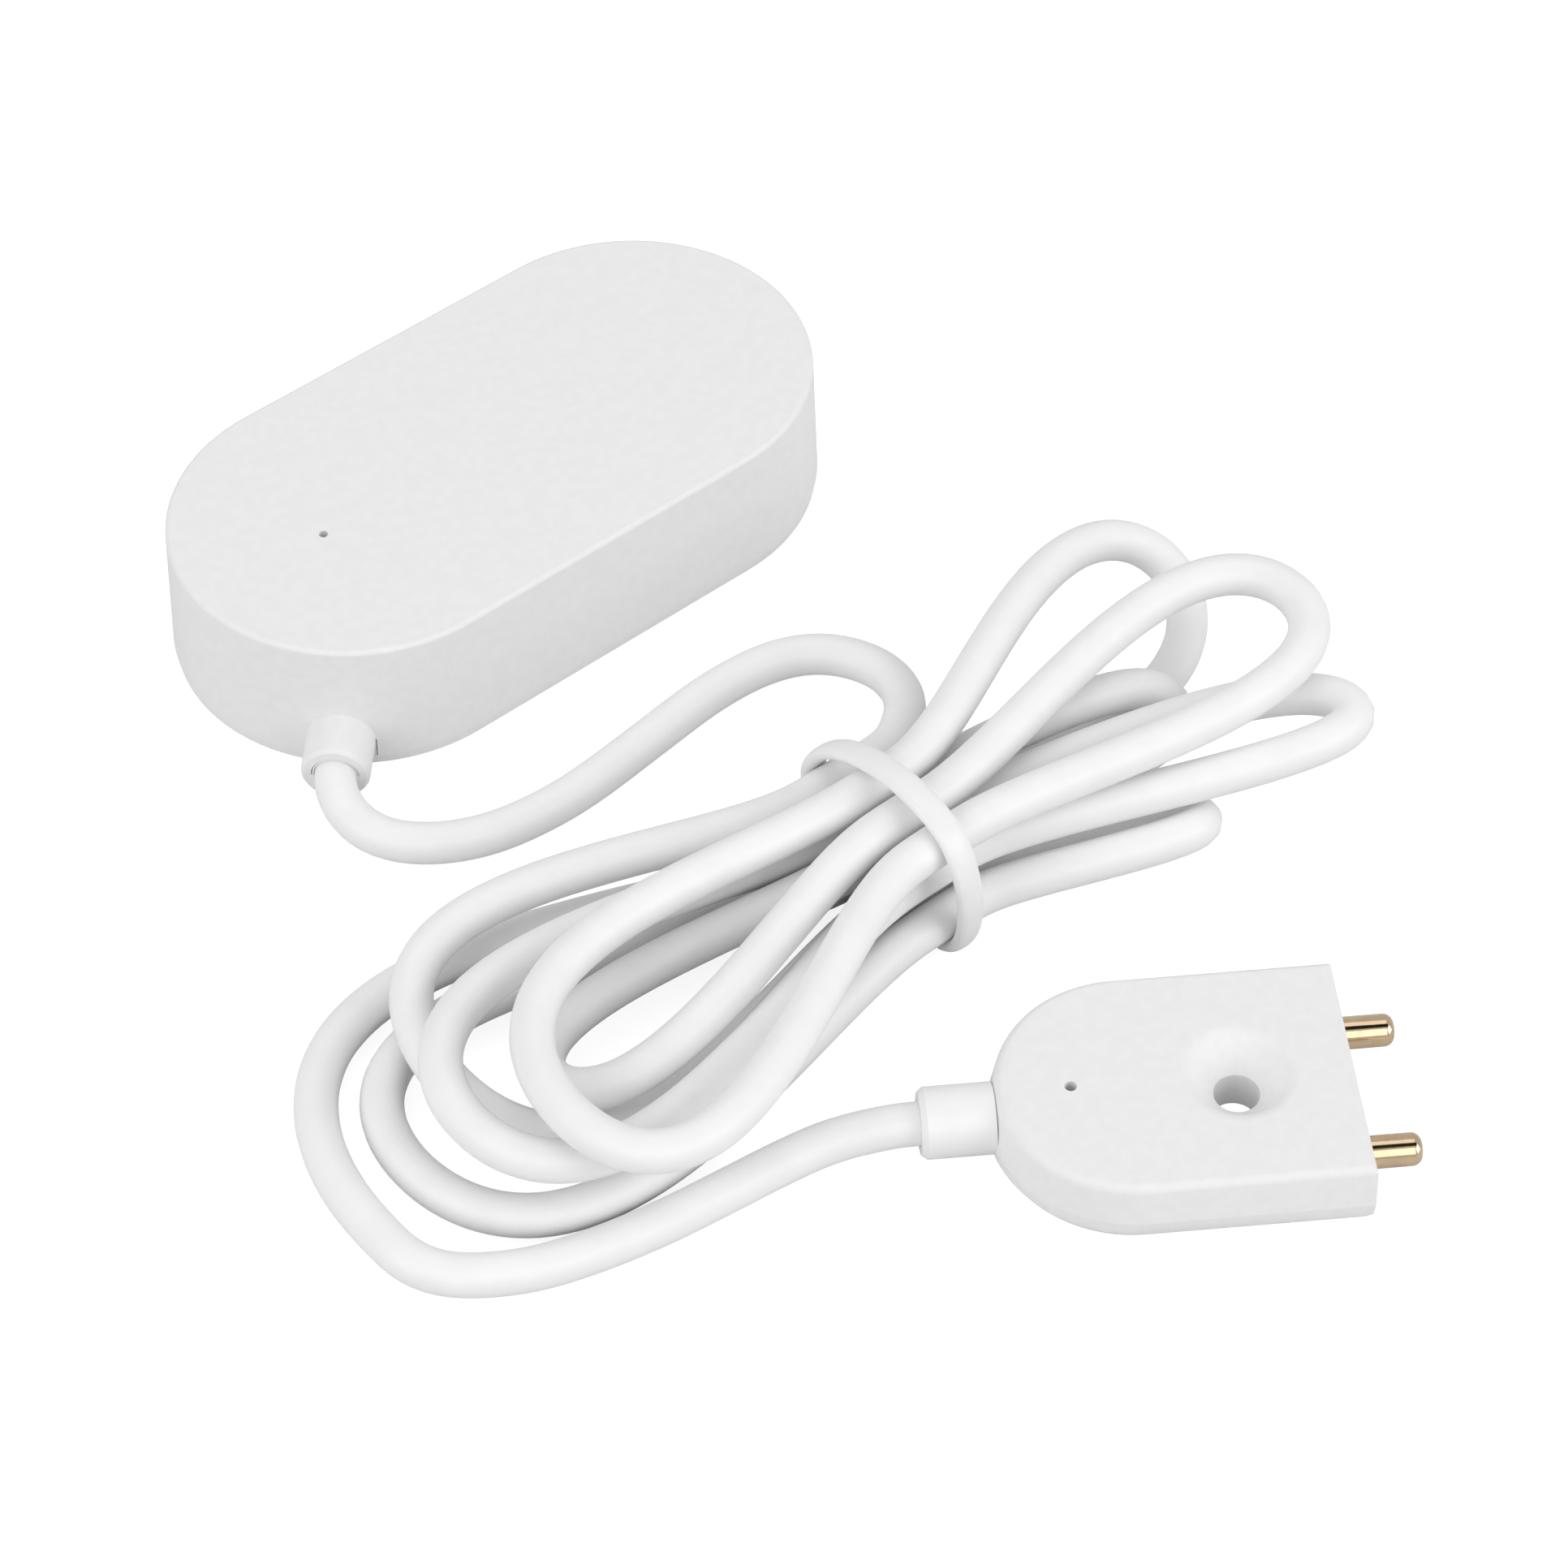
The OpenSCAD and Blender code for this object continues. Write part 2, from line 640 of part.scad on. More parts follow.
module probe_top_shell() {
    slope_r = dish_d / 2 - dish_round * sin(dish_slope);
    slope_z = probe_h - dish_round * (1 - cos(dish_slope));
    dish_z = slope_z - (slope_r - screw_hole_d / 2) * tan(dish_slope);
    dish = concat([[0, probe_h + 1], [dish_d / 2 + 0.6, probe_h + 1], [dish_d / 2 + 0.6, probe_h]],
        [for (a = [0 : 8 : dish_slope])
            [dish_d / 2 - dish_round * sin(a), probe_h - dish_round * (1 - cos(a))]],
        [[screw_hole_d / 2, dish_z], [0, dish_z]]);
    color(white) at_probe() difference() {
        union() {
            difference() {
                probe_form(top_profile, top_side);
                probe_hollow(probe_split - 1, probe_roof_z);
            }
            translate([screw_at, 0, probe_split]) cylinder(r = boss_r, h = probe_roof_z - probe_split + 0.5);
            for (s = [-1, 1]) translate([0, s * pin_y, 0])
                block(pin_in, flat_x - 1, pin_block, probe_split, probe_roof_z + 0.5);
        }
        probe_holes();
        translate([screw_at, 0, 0]) rotate_extrude() polygon(dish);
        translate([-9, 0, probe_roof_z - 1]) cylinder(d = 1.1, h = probe_wall + 2);
    }
}

module probe_collar() {
    color(white) at_probe() difference() {
        union() {
            bar(collar_d / 2, collar_x + 0.5, collar_shoulder, collar_z);
            translate([collar_x, 0, collar_z]) rotate([0, 90, 0])
                cylinder(r1 = collar_d / 2 - 0.4, r2 = collar_d / 2, h = 0.5 + eps);
            bar(neck_r, collar_shoulder - eps, neck_x + eps, collar_z);
            bar(flange_r, neck_x, neck_x + flange_t, collar_z);
        }
        bar(cord_d / 2 + slip, collar_x - 1, probe_sheath, collar_z);
    }
}

module pin(side) {
    tip = flat_x + pin_out;
    color(gold) at_probe() translate([0, side * pin_y, pin_z]) {
        bar(pin_d / 2, pin_in, tip - 1);
        bar(pin_disc_r, pin_disc[0], pin_disc[1]);
        translate([tip - 1, 0, 0]) rotate([0, 90, 0]) rotate_extrude() polygon(concat(
            [[0, -eps], [pin_d / 2, -eps]],
            [for (a = [0 : 10 : 90]) [pin_d / 2 - 0.9 + 0.9 * cos(a), 1 - 0.9 + 0.9 * sin(a)]],
            [[0, 1]]));
    }
}

module pin_left() {
    pin(1);
}

module pin_right() {
    pin(-1);
}

module probe_board() {
    color(green) at_probe()
        block(probe_board_x[0], probe_board_x[1], probe_board_w, probe_board_z, probe_board_z + 0.8);
}

module pin_links() {
    color(metal) at_probe() for (s = [-1, 1]) {
        bar(0.5, probe_board_x[1] - link_lap, pin_in, probe_board_z + 1.3, s * pin_y);
    }
}

module probe_conductors() {
    color([0.6, 0.2, 0.15]) at_probe() for (s = [-1, 1]) {
        bar(core_d / 2, probe_sheath, probe_board_x[0] + core_lap, collar_z, s * core_offset);
    }
}

base_plate();
cover_seal();
top_cover();
battery_left();
battery_right();
contact_spring();
contact_plate();
contact_bridge();
main_board();
board_screws();
radio_module();
antenna();
status_led();
reset_switch();
reset_plunger();
lead_socket();
lead_plug();
lead_conductors();
cord_clamp();
cord_lead();
cord_hank();
cord_tail();
hank_tie();
probe_bottom_shell();
probe_top_shell();
probe_collar();
pin_left();
pin_right();
probe_board();
pin_links();
probe_conductors();
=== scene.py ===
"""Looks of a white water leak sensor: housing, tied hank of cord and floor probe.

Sizes are in millimetres inside the shape functions, and in metres in the meshes and on the stage.
"""

import math

import bmesh
import bpy
import numpy as np
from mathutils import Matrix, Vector


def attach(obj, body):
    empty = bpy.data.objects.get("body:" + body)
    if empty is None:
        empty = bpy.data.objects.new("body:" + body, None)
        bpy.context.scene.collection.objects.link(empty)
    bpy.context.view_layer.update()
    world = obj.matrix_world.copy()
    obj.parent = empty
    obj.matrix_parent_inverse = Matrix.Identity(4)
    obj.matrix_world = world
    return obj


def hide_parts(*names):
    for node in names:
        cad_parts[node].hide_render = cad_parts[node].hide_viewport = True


bl_info = {
    "name": "Water leak sensor",
    "version": (1, 0, 0),
    "blender": (4, 5, 0),
    "location": "View3D > Sidebar > Leak sensor",
    "description": "Dresses the leak sensor's solids with moulded, soft and metal finishes",
    "category": "Object",
}

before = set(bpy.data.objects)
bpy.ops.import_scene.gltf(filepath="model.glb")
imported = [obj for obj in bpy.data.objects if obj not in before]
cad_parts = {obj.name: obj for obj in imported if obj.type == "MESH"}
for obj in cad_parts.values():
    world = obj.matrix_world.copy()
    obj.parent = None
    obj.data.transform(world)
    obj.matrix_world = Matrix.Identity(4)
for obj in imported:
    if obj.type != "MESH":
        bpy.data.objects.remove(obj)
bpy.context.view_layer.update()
MM = 0.001
UP = (0.0, 0.0, 1.0)

# Sizes shared with the solids
CORD_D = 4.0
END_X = 16.8
OUTLET_TURN = math.radians(227)
OUTLET_REACH = 23.0
OUTLET_Z = 3.3
SHEATH_IN = 12.8
WAIST = 3.0
HANK_SET = 60.0
STRAND_PITCH = 4.6
ROW_Z = (3.6, 8.0, 12.6)
ROW_SHIFT = (2.3, 0.0, -1.1)
FLOOR_LIFT = 0.1
FLOOR_C = CORD_D / 2 + FLOOR_LIFT
PROBE_AT = np.array([1.0, -96.0, 0.0])
PROBE_TURN = math.radians(-34)
COLLAR_Z = 3.4
COLLAR_X = -22.4
PROBE_SHEATH = -12.8
# Route points about the sleeve's mouth and before the probe's collar, by their distance from it
MOUTH_STEPS = (-3.0, 0.2, 1.0)
COLLAR_STEP = 2.0

# Each loop of the hank: side, column and row it leaves, column and row it enters, reach,
# place of its tip across the hank, height of its tip, half width, tilt, bluntness
LOOPS = (
    (-1, 2, 1, -1, 0, 47.5, 6.6, 5.5, 15, 2.6, 0.2),
    (1, -1, 0, -2, 0, 26, -13, 4, 4, -3.2, 0.15),
    (-1, -2, 0, 0, 0, 54.5, 2, 2.2, -18, 0, 0.2),
    (1, 0, 0, 1, 1, 33, -2, 5, -2, -2.5, 0.3),
    (-1, 1, 1, -1, 1, 51, -2, 9.9, 14.5, 1, 0.2),
    (1, -1, 1, 0, 1, 43, -15, 9.3, -5.5, 1, 0.25),
    (-1, 0, 1, 0, 2, 41, -1.2, 6.5, 10.4, -1, 0.2),
    (1, 0, 2, -1, 2, 45.5, -4, 14, 11, 0, 0.2),
    (-1, -1, 2, 1, 2, 45.5, -9.5, 13.8, -15.5, 0, 0.2),
    (1, 1, 2, 1, 0, 44, 10, 6.5, 16, 3.5, 0),
)
# The last half loop: side, column and row it leaves, reach, place of its tip across the hank,
# height of its tip, half width, bluntness
HALF_LOOP = (-1, 1, 0, 61, -1, 2.2, 29.5, 0.1)
# How gently a loop's flare starts
SOFT = 0.25
# Outer slots, which the tie goes round
TIE_SLOTS = ((1, 2), (-1, 2), (2, 1), (-2, 0), (1, 0), (-1, 1))

# The cord's skin: distance between the points of its line, and rounds of easing
LINE_STEP = 1.0
LINE_EASE = 3
# The tie's band: clear height over the strands and over the floor, directions that its line is worked out
# for, how many of them it is eased over to each side, step of its line, and power of its section
BAND_LIFT = 0.35
BAND_CLEAR = 0.05
BAND_TURNS = 1440
BAND_EASE = 150
BAND_STEP = 0.05
BAND_POWER = 2.3
# Distances under which two points are one, in a line and in a mesh, and the lead of large faces in shading
SAME = 1e-6
WELD = 1e-6
FACE_WEIGHT = 80

# Colours of the seal and of the pieces inside, and where the pale band of a cell begins along the housing
SEAL_GREY = (0.3, 0.3, 0.31)
STEEL_GREY = (0.72, 0.72, 0.71)
MASK_GREEN = (0.03, 0.2, 0.09)
WRAP_BLUE = (0.05, 0.08, 0.17)
WRAP_PALE = (0.62, 0.64, 0.66)
WRAP_EDGE = 0.012
NYLON_CREAM = (0.78, 0.76, 0.7)
CORE_RED = (0.45, 0.06, 0.05)
SWITCH_BLACK = (0.03, 0.03, 0.035)
LENS_CLEAR = (0.85, 0.88, 0.8)

# The camera's film width and its near and far limits
FILM_WIDTH = 36
CLIP = (0.01, 20)
# The floor's half sides, its drop below the object, and the grey of the floor that gives light back
FLOOR_HALF = (3.0, 3.0)
FLOOR_DROP = 1e-5
BOUNCE_GREY = (0.7, 0.7, 0.7)
GLOW_WHITE = (1, 1, 1, 1)
# Dark screen that only the pins mirror: half sides, middle, height and colour
FLAG_HALF = (0.25, 0.07)
FLAG_AT = (0.001, -0.13)
FLAG_Z = 0.3
FLAG_BLACK = (0.02, 0.02, 0.02)
# Soft lights: name, place, point that they face, side and power
LAMPS = (
    ("top_softbox", (0.1, 0.1, 1.2), (0, -0.04, 0), 1.2, 2.6),
    ("front_softbox", (0.6, -1.1, 0.6), (0, -0.05, 0), 0.9, 6.4),
    ("left_softbox", (-1.1, 0.0, 0.6), (0, -0.05, 0), 0.9, 4.6),
    ("pin_softbox", (-0.25, -0.5, 0.37), (0.017, -0.107, 0), 0.5, 0.9),
)


# Shapes


def heading(turn):
    """Level direction at an angle."""
    return np.array([math.cos(turn), math.sin(turn), 0.0])


def at_outlet(reach):
    """Point on the cord's axis in the sleeve, by its distance from the middle of the housing's round end."""
    return np.array([-END_X, 0.0, OUTLET_Z]) + reach * heading(OUTLET_TURN)


def hank_slot(col, row):
    """Where a strand crosses the hank's waist: columns across, rows up."""
    return np.array([0.0, STRAND_PITCH * col + ROW_SHIFT[row] - HANK_SET, ROW_Z[row]])


def hank_start():
    """Where the lead meets the hank's first strand."""
    return hank_slot(*LOOPS[0][1:3]) + (WAIST, 0, 0)


def hank_end():
    """Where the hank's last strand meets the tail."""
    reach, aside, height = HALF_LOOP[3:6]
    return np.array([-reach, aside - HANK_SET - CORD_D / 2, height])


def loop_points(side, a, b, reach, tip, width, tilt, blunt, turn):
    """Points of one loop at the angles in turn, from 0 to pi.

    The strand goes from slot a to slot b with a cosine share, reaches out by a blunted sine,
    and leans towards its tip and opens to its half width with a flare that starts level.
    """
    share = (1 - np.cos(turn)) / 2
    out = np.sin(turn) * (1 + blunt * np.cos(turn) ** 2)
    flare = (1 + SOFT) * out**2 / (out + SOFT)
    points = a + np.outer(share, b - a)
    points += flare[:, None] * (tip - (a + b) / 2 + np.outer(np.cos(turn), (0.0, width, tilt)))
    points[:, 0] += side * (WAIST + (reach - WAIST) * out)
    return points


def hank_points(steps=90):
    """The hank's centreline: one loop after another, and half of the last one."""
    turn = np.linspace(0, math.pi, steps + 1)
    rows = [hank_start()[None]]
    for side, c0, r0, c1, r1, reach, aside, height, width, tilt, blunt in LOOPS:
        tip = np.array([0.0, aside - HANK_SET, height])
        a, b = hank_slot(c0, r0), hank_slot(c1, r1)
        rows.append(loop_points(side, a, b, reach, tip, width, tilt, blunt, turn))
    side, c0, r0, reach, aside, height, width, blunt = HALF_LOOP
    a = hank_slot(c0, r0)
    tip = np.array([0.0, aside - HANK_SET, height])
    b = np.array([0.0, 2 * tip[1] - a[1], a[2]])
    rows.append(loop_points(side, a, b, reach, tip, width, 0, blunt, turn[: steps // 2 + 1]))
    rows.append(hank_end()[None])
    return np.concatenate(rows)


def lead_route():
    """Route of the lead from the housing's clamp to the tie."""
    stops = (SHEATH_IN, SHEATH_IN + CORD_D, *(OUTLET_REACH + step for step in MOUTH_STEPS))
    straight = [at_outlet(reach) for reach in stops]
    bow = [(-34, -20, 2.8), (-34, -23, 2.4), (-32.6, -26, FLOOR_C), (-29.6, -28.9, FLOOR_C),
           (-25.4, -31, FLOOR_C), (-20.2, -32, FLOOR_C), (-14.5, -32.1, FLOOR_C), (-6, -31.2, FLOOR_C),
           (1.5, -30.4, FLOOR_C), (7.3, -30.6, FLOOR_C), (11.3, -31.7, FLOOR_C), (14, -33.6, FLOOR_C),
           (15.6, -36.2, 2.3), (16, -39.2, 3), (15.2, -42.4, 4.2), (13.4, -45.6, 5.8), (10.8, -48.4, 7.2)]
    into = [hank_start() + (CORD_D, 0, 0), hank_start()]
    return np.array([*straight, *bow, *into], float)


def tail_route():
    """Route of the tail from the hank's outer loop into the probe's collar."""
    mouth = PROBE_AT + (0, 0, COLLAR_Z)
    floor = [(-59.6, -68.4, FLOOR_C), (-56.6, -71.2, FLOOR_C), (-52.5, -73.6, FLOOR_C),
             (-47, -75.4, FLOOR_C), (-41, -76.7, FLOOR_C), (-34.5, -77.6, FLOOR_C),
             (-29, -78.3, FLOOR_C), (-24, -79.5, 2.4)]
    stops = (COLLAR_X - COLLAR_STEP, COLLAR_X, PROBE_SHEATH - CORD_D, PROBE_SHEATH)
    into = [mouth + reach * heading(PROBE_TURN) for reach in stops]
    return np.array([hank_end(), hank_end() - (0, CORD_D / 2, 0), *floor, *into], float)


def through(route, steps=12):
    """A Catmull-Rom curve through the route's inner points; its end stretches stay straight."""
    a, b, c, d = (p[:, None] for p in (route[:-3], route[1:-2], route[2:-1], route[3:]))
    t = (np.arange(steps) / steps)[None, :, None]
    curve = b + (c - a) * t / 2
    curve = curve + (2 * a - 5 * b + 4 * c - d) * t**2 / 2
    curve = curve + (3 * b - a - 3 * c + d) * t**3 / 2
    return np.concatenate([route[:1], curve.reshape(-1, 3), route[-2:]])


def even(points, step):
    """The same line with points a fixed step apart."""
    keep = np.r_[True, np.linalg.norm(np.diff(points, axis=0), axis=1) > SAME]
    points = points[keep]
    run = np.r_[0, np.cumsum(np.linalg.norm(np.diff(points, axis=0), axis=1))]
    at = np.linspace(0, run[-1], int(round(run[-1] / step)) + 1)
    return np.stack([np.interp(at, run, points[:, k]) for k in range(3)], axis=1)


def relaxed(points, passes):
    """Neighbouring points averaged again and again, with both ends held."""
    points = points.copy()
    for _ in range(passes):
        points[1:-1] = (points[:-2] + 2 * points[1:-1] + points[2:]) / 4
    return points


def cord_line():
    """Centreline of the whole cord, from the housing's clamp to the probe's board."""
    whole = np.concatenate([through(lead_route()), hank_points(), through(tail_route())])
    return relaxed(even(whole, LINE_STEP), LINE_EASE)


def circle(radius, sides):
    """Points round a circle as (across, up) pairs."""
    turn = np.arange(sides) * 2 * math.pi / sides
    return radius * np.stack([np.cos(turn), np.sin(turn)], axis=1)


def swept(line, section):
    """Grid of a section carried along an open line.

    section holds (across, up) pairs; across is level and square to the line, up completes the frame.
    """
    ahead = np.roll(line, -1, axis=0) - np.roll(line, 1, axis=0)
    ahead[0], ahead[-1] = line[1] - line[0], line[-1] - line[-2]
    ahead /= np.linalg.norm(ahead, axis=1)[:, None]
    across = np.cross(UP, ahead)
    across /= np.linalg.norm(across, axis=1)[:, None]
    up = np.cross(ahead, across)
    return line[:, None] + section[None, :, :1] * across[:, None] + section[None, :, 1:] * up[:, None]


def grid_faces(rows, cols, wrap_rows):
    """Quads of a grid that closes on itself across, and along too where wrap_rows is set."""
    i = np.arange(rows if wrap_rows else rows - 1)[:, None]
    k = np.arange(cols)[None]
    a, b = i * cols + k, i * cols + (k + 1) % cols
    c, d = ((i + 1) % rows) * cols + (k + 1) % cols, ((i + 1) % rows) * cols + k
    return np.stack([a, d, c, b], axis=-1).reshape(-1, 4)


def smooth_object(name, mesh):
    """An object in the scene whose faces all shade smoothly."""
    mesh.polygons.foreach_set("use_smooth", np.ones(len(mesh.polygons), bool))
    mesh.update()
    piece = bpy.data.objects.new(name, mesh)
    bpy.context.scene.collection.objects.link(piece)
    return piece


def surface(name, grid, wrap_rows=False):
    """A closed mesh object from a grid of points in millimetres; open ends get a flat cap."""
    rows, cols = grid.shape[:2]
    points = grid.reshape(-1, 3) * MM
    faces = grid_faces(rows, cols, wrap_rows).tolist()
    if not wrap_rows:
        faces += [list(range(cols)), list(range(rows * cols - 1, (rows - 1) * cols - 1, -1))]
    mesh = bpy.data.meshes.new(name)
    mesh.from_pydata(points.tolist(), [], faces)
    work = bmesh.new()
    work.from_mesh(mesh)
    bmesh.ops.recalc_face_normals(work, faces=work.faces)
    work.to_mesh(mesh)
    work.free()
    return smooth_object(name, mesh)


def smooth_copy(node, name, crease):
    """A welded copy of a solid's mesh that shades smoothly, except over edges sharper than crease."""
    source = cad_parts[node]
    work = bmesh.new()
    work.from_mesh(source.data)
    bmesh.ops.remove_doubles(work, verts=work.verts, dist=WELD)
    limit = math.radians(crease)
    for edge in work.edges:
        edge.smooth = len(edge.link_faces) == 2 and edge.calc_face_angle(0.0) < limit
    mesh = bpy.data.meshes.new(name)
    work.to_mesh(mesh)
    work.free()
    piece = smooth_object(name, mesh)
    weighted = piece.modifiers.new("even_shading", "WEIGHTED_NORMAL")
    weighted.keep_sharp = True
    weighted.weight = FACE_WEIGHT
    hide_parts(node)
    return piece


# Finishes


class Finish:
    """One procedural material: a principled shader with helpers that add its pattern."""

    # Stretches of a noise that the colours and the roughness are spread over
    COLOUR_SPAN = (0.35, 0.65)
    ROUGH_SPAN = (0.3, 0.7)

    def __init__(self, name, colour, roughness, metallic=0.0, specular=0.5):
        self.material = bpy.data.materials.new(name)
        self.material.use_nodes = True
        self.tree = self.material.node_tree
        self.shader = self.tree.nodes["Principled BSDF"]
        self.shader.inputs["Base Color"].default_value = (*colour, 1.0)
        self.shader.inputs["Roughness"].default_value = roughness
        self.shader.inputs["Metallic"].default_value = metallic
        self.shader.inputs["Specular IOR Level"].default_value = specular
        self.place = self.node("ShaderNodeTexCoord").outputs["Object"]
        self.colour = colour

    def node(self, kind, **values):
        """A new node with the given settings."""
        made = self.tree.nodes.new(kind)
        for key, value in values.items():
            setattr(made, key, value)
        return made

    def link(self, output, socket):
        """Joins an output to a socket."""
        self.tree.links.new(output, socket)

    def noise(self, scale, detail=2.0):
        """A noise value over the object's own coordinates, in features a metre."""
        made = self.node("ShaderNodeTexNoise")
        made.inputs["Scale"].default_value = scale
        made.inputs["Detail"].default_value = detail
        self.link(self.place, made.inputs["Vector"])
        return made.outputs["Fac"]

    def ramp(self, value, low, high, colours):
        """Colours spread over a value from low to high."""
        made = self.node("ShaderNodeValToRGB")
        made.color_ramp.elements[0].position = low
        made.color_ramp.elements[1].position = high
        for element, colour in zip(made.color_ramp.elements, colours):
            element.color = (*colour, 1.0)
        self.link(value, made.inputs["Fac"])
        return made.outputs["Color"]

    def vary(self, scale, spread):
        """Base colour that drifts by spread either way."""
        dark = [max(0.0, c * (1 - spread)) for c in self.colour]
        pale = [min(1.0, c * (1 + spread)) for c in self.colour]
        drift = self.ramp(self.noise(scale), *self.COLOUR_SPAN, (dark, pale))
        self.link(drift, self.shader.inputs["Base Color"])
        return self

    def rough(self, scale, least, most):
        """Roughness that drifts between two values."""
        made = self.node("ShaderNodeMapRange")
        ends = ("From Min", "From Max", "To Min", "To Max")
        for key, value in zip(ends, (*self.ROUGH_SPAN, least, most)):
            made.inputs[key].default_value = value
        self.link(self.noise(scale), made.inputs["Value"])
        self.link(made.outputs["Result"], self.shader.inputs["Roughness"])
        return self

    def bump(self, value, strength, depth):
        """Relief from a value, depth in metres."""
        made = self.node("ShaderNodeBump")
        made.inputs["Strength"].default_value = strength
        made.inputs["Distance"].default_value = depth
        self.link(value, made.inputs["Height"])
        self.link(made.outputs["Normal"], self.shader.inputs["Normal"])
        return self


def moulded_white(colour):
    """Fine spark-eroded texture of the housing and the probe."""
    made = Finish("moulded_white", colour, roughness=0.55, specular=0.35)
    made.vary(scale=900, spread=0.012).rough(scale=2500, least=0.5, most=0.62)
    return made.bump(made.noise(scale=3800, detail=3.0), strength=0.16, depth=0.00006).material


def sheath_white(colour):
    """Satin sheath of the cord, drawn smooth with a faint waviness."""
    made = Finish("sheath_white", colour, roughness=0.42, specular=0.42)
    made.vary(scale=260, spread=0.012).rough(scale=1400, least=0.38, most=0.48)
    return made.bump(made.noise(scale=700), strength=0.12, depth=0.00008).material


def tie_white(colour):
    """Smooth cooler white of the band."""
    made = Finish("tie_white", colour, roughness=0.36, specular=0.45)
    made.vary(scale=300, spread=0.01)
    return made.bump(made.noise(scale=900), strength=0.08, depth=0.00006).material


def plated_gold(colour):
    """Polished plating of the pins with a faint unevenness."""
    made = Finish("plated_gold", colour, roughness=0.1, metallic=1.0)
    made.vary(scale=700, spread=0.05).rough(scale=1800, least=0.08, most=0.14)
    return made.bump(made.noise(scale=6000), strength=0.05, depth=0.00003).material


def spring_steel(colour):
    """Plated contact metal and screws with faint marks of handling."""
    made = Finish("spring_steel", colour, roughness=0.32, metallic=1.0)
    made.vary(scale=900, spread=0.06).rough(scale=2400, least=0.25, most=0.42)
    return made.bump(made.noise(scale=5200), strength=0.08, depth=0.00003).material


def soft_seal(colour):
    """Matte seal with a dusty surface."""
    made = Finish("soft_seal", colour, roughness=0.8, specular=0.25)
    made.vary(scale=1500, spread=0.08)
    return made.bump(made.noise(scale=4200, detail=3.0), strength=0.2, depth=0.00005).material


def cell_wrap(colour, pale):
    """Plain sleeve of a cell with a pale band at one end."""
    made = Finish("cell_wrap", colour, roughness=0.34)
    split = made.node("ShaderNodeSeparateXYZ")
    made.link(made.place, split.inputs["Vector"])
    edge = made.node("ShaderNodeMath", operation="GREATER_THAN")
    edge.inputs[1].default_value = WRAP_EDGE
    made.link(split.outputs["X"], edge.inputs[0])
    band = made.ramp(edge.outputs["Value"], 0.0, 1.0, (colour, pale))
    made.link(band, made.shader.inputs["Base Color"])
    made.rough(scale=1200, least=0.28, most=0.42)
    return made.bump(made.noise(scale=1500), strength=0.1, depth=0.00005).material


def solder_mask(colour):
    """Board lacquer over faint copper tracks."""
    made = Finish("solder_mask", colour, roughness=0.35)
    tracks = made.node("ShaderNodeTexBrick")
    looks = {
        "Scale": 420.0,
        "Mortar Size": 0.05,
        "Color1": (*colour, 1.0),
        "Color2": (*[c * 0.9 for c in colour], 1.0),
        "Mortar": (*[min(1.0, c * 1.7 + 0.02) for c in colour], 1.0),
    }
    for key, value in looks.items():
        tracks.inputs[key].default_value = value
    made.link(made.place, tracks.inputs["Vector"])
    made.link(tracks.outputs["Color"], made.shader.inputs["Base Color"])
    made.rough(scale=2000, least=0.28, most=0.42)
    return made.bump(tracks.outputs["Fac"], strength=0.15, depth=0.00004).material


def plain_moulding(name, colour, roughness):
    """Small moulded pieces: switch, plug, socket, core insulation, lamp."""
    made = Finish(name, colour, roughness, specular=0.4)
    made.vary(scale=1800, spread=0.05)
    return made.bump(made.noise(scale=4200), strength=0.1, depth=0.00004).material


def stage_paint(name, colour):
    """Flat paint of the stage, without gloss."""
    return Finish(name, colour, roughness=0.9, specular=0.0).material


def dress(piece, material):
    """Gives an object one material."""
    piece.data.materials.clear()
    piece.data.materials.append(material)


# Settings


class LeakShellSettings(bpy.types.PropertyGroup):
    """Finish of the moulded shells."""

    colour: bpy.props.FloatVectorProperty(
        name="Shell colour", description="White of the housing and the probe", subtype="COLOR",
        size=3, min=0, max=1, default=(0.87, 0.862, 0.866))
    crease: bpy.props.FloatProperty(
        name="Crease", description="Edges sharper than this stay crisp, in degrees",
        min=5, max=80, default=28)


class LeakCordSettings(bpy.types.PropertyGroup):
    """Sizes and finish of the cord and its tie."""

    diameter: bpy.props.FloatProperty(
        name="Cord diameter", description="Diameter of the sheath", subtype="DISTANCE", unit="LENGTH",
        min=0.003, max=0.005, default=CORD_D * MM)
    sides: bpy.props.IntProperty(
        name="Sides", description="Faces round the cord", min=8, max=48, default=24)
    colour: bpy.props.FloatVectorProperty(
        name="Sheath colour", description="White of the cord", subtype="COLOR",
        size=3, min=0, max=1, default=(0.91, 0.91, 0.91))
    tie_width: bpy.props.FloatProperty(
        name="Tie width", description="Width of the band along the hank", subtype="DISTANCE", unit="LENGTH",
        min=0.001, max=0.004, default=0.0028)
    tie_thickness: bpy.props.FloatProperty(
        name="Tie thickness", description="Thickness of the band", subtype="DISTANCE", unit="LENGTH",
        min=0.0006, max=0.002, default=0.0014)
    tie_colour: bpy.props.FloatVectorProperty(
        name="Tie colour", description="White of the band", subtype="COLOR",
        size=3, min=0, max=1, default=(0.9, 0.9, 0.91))


class LeakPinSettings(bpy.types.PropertyGroup):
    """Finish of the contact pins."""

    colour: bpy.props.FloatVectorProperty(
        name="Pin colour", description="Plating of the pins", subtype="COLOR",
        size=3, min=0, max=1, default=(0.77, 0.59, 0.39))


